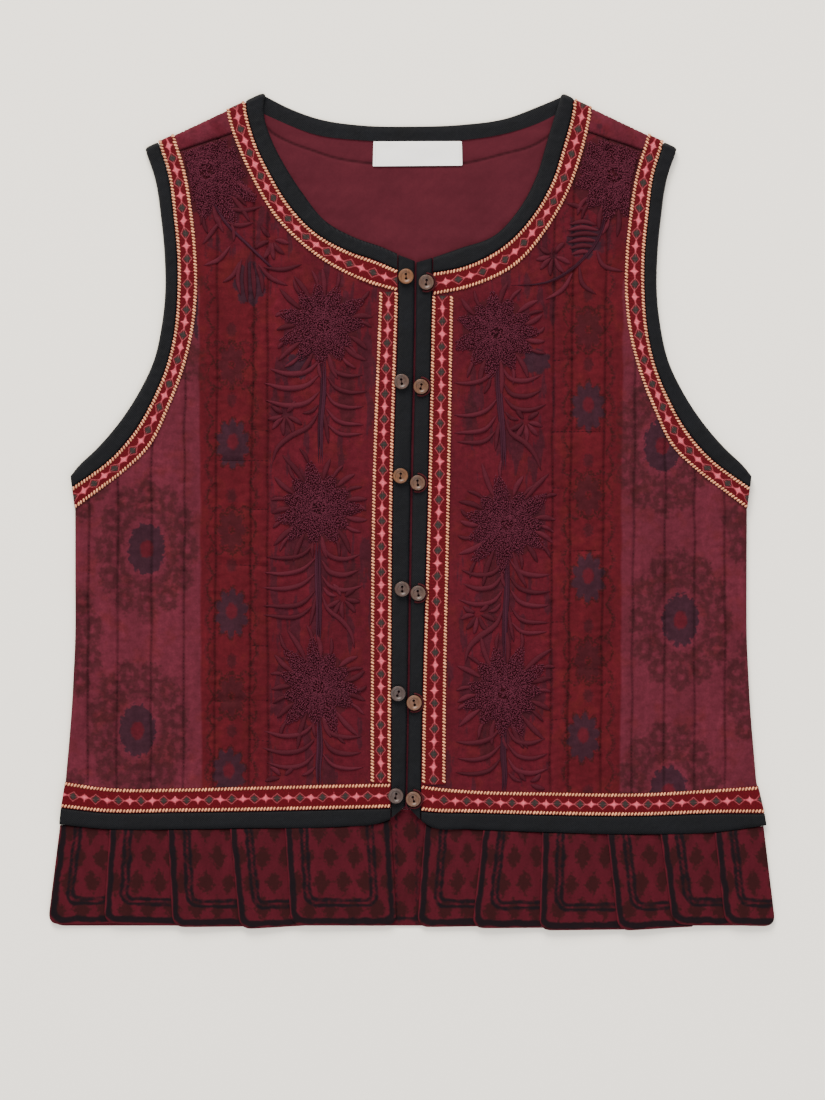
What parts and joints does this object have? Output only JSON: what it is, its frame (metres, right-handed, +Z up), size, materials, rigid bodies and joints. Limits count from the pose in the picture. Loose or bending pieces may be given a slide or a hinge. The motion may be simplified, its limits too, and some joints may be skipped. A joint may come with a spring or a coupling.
{
  "type": "quilted folk vest",
  "caption": "Sleeveless quilted folk vest laid flat, with bound edges, braid trims, paired buttons down the front and a tabbed peplum.",
  "frame": {"origin": "on the floor plane under the middle of the vest: x = 0 close to the front opening, y = 0 just below the armholes", "axes": "+X towards the wearer's left, +Y from the hem to the neck, +Z up off the floor, out of the front of the vest"},
  "size_m": [0.5214, 0.6017, 0.0094],
  "materials": {
    "quilted_cotton": "matte quilted cotton",
    "cotton_lining": "matte plain cotton",
    "black_binding": "matte black cotton bias binding",
    "woven_braid": "woven braid with cord edges",
    "ikat_cotton": "matte ikat-patterned cotton",
    "label_satin": "smooth white ribbon",
    "horn": "satin horn",
    "loop_cotton": "matte cotton cord"
  },
  "bodies": {
    "root": {"back": "cotton_lining", "back_hem_binding": "black_binding", "back_ruffle": "ikat_cotton", "button_loop_1": "loop_cotton", "button_loop_2": "loop_cotton", "button_loop_3": "loop_cotton", "button_loop_4": "loop_cotton", "button_loop_5": "loop_cotton", "button_loop_6": "loop_cotton", "front_left": "quilted_cotton", "front_right": "quilted_cotton", "label": "label_satin", "left_armhole_binding": "black_binding", "left_armhole_braid": "woven_braid", "left_button_1": "horn", "left_button_2": "horn", "left_button_3": "horn", "left_button_4": "horn", "left_button_5": "horn", "left_button_6": "horn", "left_front_braid": "woven_braid", "left_front_edge_binding": "black_binding", "left_hem_binding": "black_binding", "left_hem_braid": "woven_braid", "left_neck_braid": "woven_braid", "left_tab_1": "ikat_cotton", "left_tab_2": "ikat_cotton", "left_tab_3": "ikat_cotton", "left_tab_4": "ikat_cotton", "left_tab_5": "ikat_cotton", "left_tab_6": "ikat_cotton", "neck_binding": "black_binding", "right_armhole_binding": "black_binding", "right_armhole_braid": "woven_braid", "right_button_1": "horn", "right_button_2": "horn", "right_button_3": "horn", "right_button_4": "horn", "right_button_5": "horn", "right_button_6": "horn", "right_front_braid": "woven_braid", "right_front_edge_binding": "black_binding", "right_hem_binding": "black_binding", "right_hem_braid": "woven_braid", "right_neck_braid": "woven_braid", "right_tab_1": "ikat_cotton", "right_tab_2": "ikat_cotton", "right_tab_3": "ikat_cotton", "right_tab_4": "ikat_cotton", "right_tab_5": "ikat_cotton"}
  },
  "joints": []
}
